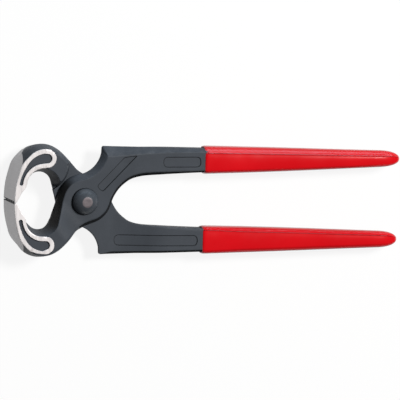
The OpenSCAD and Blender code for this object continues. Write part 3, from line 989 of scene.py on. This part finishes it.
def end_wall_steel(name, lean, black, bare):
    """The end wall is ground bare from the cutting edge as far as a slanting border, and black beyond."""
    mat, tree, bsdf = node_material(name)
    coord = coords(tree)
    axes = add(tree, "ShaderNodeSeparateXYZ")
    tree.links.new(coord, axes.inputs["Vector"])
    y, z = axes.outputs["Y"], axes.outputs["Z"]
    from_edge = maths(tree, "ABSOLUTE", y)
    height = maths(tree, "MULTIPLY", maths(tree, "SUBTRACT", z, MID_Z * MM), lean)
    bow = maths(tree, "MULTIPLY", maths(tree, "MULTIPLY", height, height), 106.0)
    wave = maths(tree, "MULTIPLY", maths(tree, "SUBTRACT", noise(tree, coord, 260, 2), 0.5), 0.0006)
    place = maths(tree, "ADD", from_edge, maths(tree, "MULTIPLY", y, 0.04))
    for term in (height, bow, wave):
        place = maths(tree, "ADD", place, term)
    # painted shade along the gap between the cutting edges, dark and not metallic
    gap_shade = map_range(tree, from_edge, 1.0, 0.0, 0.00078, 0.00088)
    beyond = map_range(tree, place, 0.0, 1.0, 0.0275, 0.0279)
    colour, marks = ground_colour(tree, coord, bare, (1.0, 1.0, 0.06))
    colour = mix_colour(tree, beyond, colour, black_colour(tree, coord, black))
    tree.links.new(mix_colour(tree, gap_shade, colour, GAP_SHADE_TONE), bsdf.inputs["Base Color"])
    steel = maths(tree, "SUBTRACT", 1.0, maths(tree, "MAXIMUM", beyond, gap_shade))
    tree.links.new(maths(tree, "MULTIPLY", steel, 0.75), bsdf.inputs["Metallic"])
    tree.links.new(map_range(tree, marks, 0.38, 0.5), bsdf.inputs["Roughness"])
    bsdf.inputs["Specular IOR Level"].default_value = 0.05
    bump(tree, bsdf, marks, 0.1, 0.00012)
    return mat


def grip_plastic(name):
    mat, tree, bsdf = node_material(name)
    coord = coords(tree)
    colour = ramp(tree, noise(tree, coord, 38, 3), *RED_TONES)
    # painted shade along the creases between faces and bevels
    colour = mix_colour(tree, attribute(tree, "crease_shade"), colour, CREASE_SHADE_TONE)
    tree.links.new(colour, bsdf.inputs["Base Color"])
    tree.links.new(map_range(tree, noise(tree, coord, 120, 3), 0.16, 0.21), bsdf.inputs["Roughness"])
    bsdf.inputs["Specular IOR Level"].default_value = 0.32
    bump(tree, bsdf, noise(tree, coord, 420, 2), 0.01, 0.0003)
    return mat


black = black_steel("oxidised_steel", BLACK_TONE, 0.54, 0.13)
# matt finish painted dark as shade
matt_shade_black = black_steel("matt_edge_painted_shade", MATT_SHADE_TONE, 0.75, 0.0, worn=False)
dome_black = black_steel("oxidised_rivet", DOME_TONE, 0.36, 0.26, worn=False)
rib_steel = ground_steel("ground_rib_steel", RIB_TONE, 0.4, 0.15, (1.0, 0.12, 1.0))
disc_steel = ground_steel("ground_rivet_steel", DISC_TONE, 0.4, 0.5, (0.2, 1.0, 1.0))
end_wall = end_wall_steel("ground_end_wall", 0.33, BLACK_TONE, WALL_TONE)
red = grip_plastic("red_dipped_plastic")

# Pieces
front = lever_object("front_lever_forged", "front", False, FRONT_FIELDS, [])
rear = lever_object("rear_lever_forged", "rear", True, [], REAR_FIELDS)
for obj, node in ((front, "front_lever"), (rear, "rear_lever")):
    for m in (black, rib_steel, end_wall, matt_shade_black):
        obj.data.materials.append(m)
    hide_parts(node)
rivet = rivet_object("rivet_forged", "rear")
for m in (dome_black, disc_steel, matt_shade_black):
    rivet.data.materials.append(m)
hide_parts("pivot_rivet")
SLEEVES = (("upper_sleeve", "front", False, "upper_grip"), ("lower_sleeve", "rear", True, "lower_grip"))
for name, body, turned, node in SLEEVES:
    sleeve = grip_object(name, body, turned)
    sleeve.data.materials.append(red)
    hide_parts(node)

# Floor, in metres
floor_mesh = bpy.data.meshes.new("floor")
floor_mesh.from_pydata([(-3, -3, 0), (3, -3, 0), (3, 3, 0), (-3, 3, 0)], [], [[0, 1, 2, 3]])
floor = bpy.data.objects.new("floor", floor_mesh)
bpy.context.scene.collection.objects.link(floor)
floor_mat, tree, bsdf = node_material("pale_floor")
bsdf.inputs["Roughness"].default_value = 0.9
bsdf.inputs["Specular IOR Level"].default_value = 0.0
glow = add(tree, "ShaderNodeEmission", Strength=1.0)
path = add(tree, "ShaderNodeLightPath")
seen = maths(tree, "MAXIMUM", path.outputs["Is Camera Ray"], path.outputs["Is Glossy Ray"])
seen = maths(tree, "MAXIMUM", seen, path.outputs["Is Transmission Ray"])
tree.links.new(mix_colour(tree, seen, (0.12, 0.12, 0.12), (0.95, 0.95, 0.95)), bsdf.inputs["Base Color"])
blend = add(tree, "ShaderNodeMixShader")
tree.links.new(maths(tree, "MULTIPLY", seen, 0.88), blend.inputs[0])
tree.links.new(bsdf.outputs["BSDF"], blend.inputs[1])
tree.links.new(glow.outputs["Emission"], blend.inputs[2])
tree.links.new(blend.outputs["Shader"], tree.nodes["Material Output"].inputs["Surface"])
floor_mesh.materials.append(floor_mat)

# Light, in metres and watts
world = bpy.data.worlds.new("studio")
bpy.context.scene.world = world
world.use_nodes = True
world.node_tree.nodes["Background"].inputs["Color"].default_value = (1, 1, 1, 1)
world.node_tree.nodes["Background"].inputs["Strength"].default_value = 0.12
LIT_PLACE = (0.07, 0.0, 0.012)


def softbox(name, place, size, power, colour):
    light = bpy.data.lights.new(name, "AREA")
    light.shape = "RECTANGLE"
    light.size, light.size_y = size
    light.energy = power
    light.color = colour
    obj = bpy.data.objects.new(name, light)
    obj.location = place
    obj.rotation_mode = "QUATERNION"
    obj.rotation_quaternion = (Vector(place) - Vector(LIT_PLACE)).to_track_quat("Z", "Y")
    bpy.context.scene.collection.objects.link(obj)


softbox("key", (0.72, 0.56, 1.58), (0.4, 0.4), 32.0, (1.0, 0.99, 0.97))
softbox("rim", (0.1, 1.0, 0.12), (1.6, 0.18), 4.8, (0.66, 0.84, 1.0))

# Camera at the photograph's angle
ALPHA, BETA = math.radians(15.2), math.radians(6.6)     # to the left of the tool's face and above it
ROLL = 0.0045
PICTURE = 400           # width of the photograph in picture elements
PIVOT_U, PIVOT_V = 82.0, 200.1  # place of the pivot in it
SCALE = 1.793           # picture elements for each millimetre at the pivot
FAR = 8.0               # distance in metres
SENSOR = 36.0
right = Vector((math.cos(ALPHA), math.sin(ALPHA) * math.sin(BETA), math.sin(ALPHA) * math.cos(BETA)))
up = Vector((0, math.cos(BETA), -math.sin(BETA)))
back = Vector((-math.sin(ALPHA), math.cos(ALPHA) * math.sin(BETA), math.cos(ALPHA) * math.cos(BETA)))
right, up = right * math.cos(ROLL) - up * math.sin(ROLL), up * math.cos(ROLL) + right * math.sin(ROLL)
target = Vector((0, 0, MID_Z * MM))
target += right * ((PICTURE / 2 - PIVOT_U) / SCALE * MM) + up * ((PIVOT_V - PICTURE / 2) / SCALE * MM)
cam = bpy.data.cameras.new("camera")
cam.sensor_width = SENSOR
cam.lens = SCALE / MM * FAR / PICTURE * SENSOR
cam.clip_start, cam.clip_end = 0.1, 100.0
eye = bpy.data.objects.new("camera", cam)
eye.matrix_world = Matrix.Translation(target + back * FAR) @ Matrix((right, up, back)).transposed().to_4x4()
bpy.context.scene.collection.objects.link(eye)
bpy.context.scene.camera = eye
bpy.context.scene.view_settings.view_transform = "Standard"
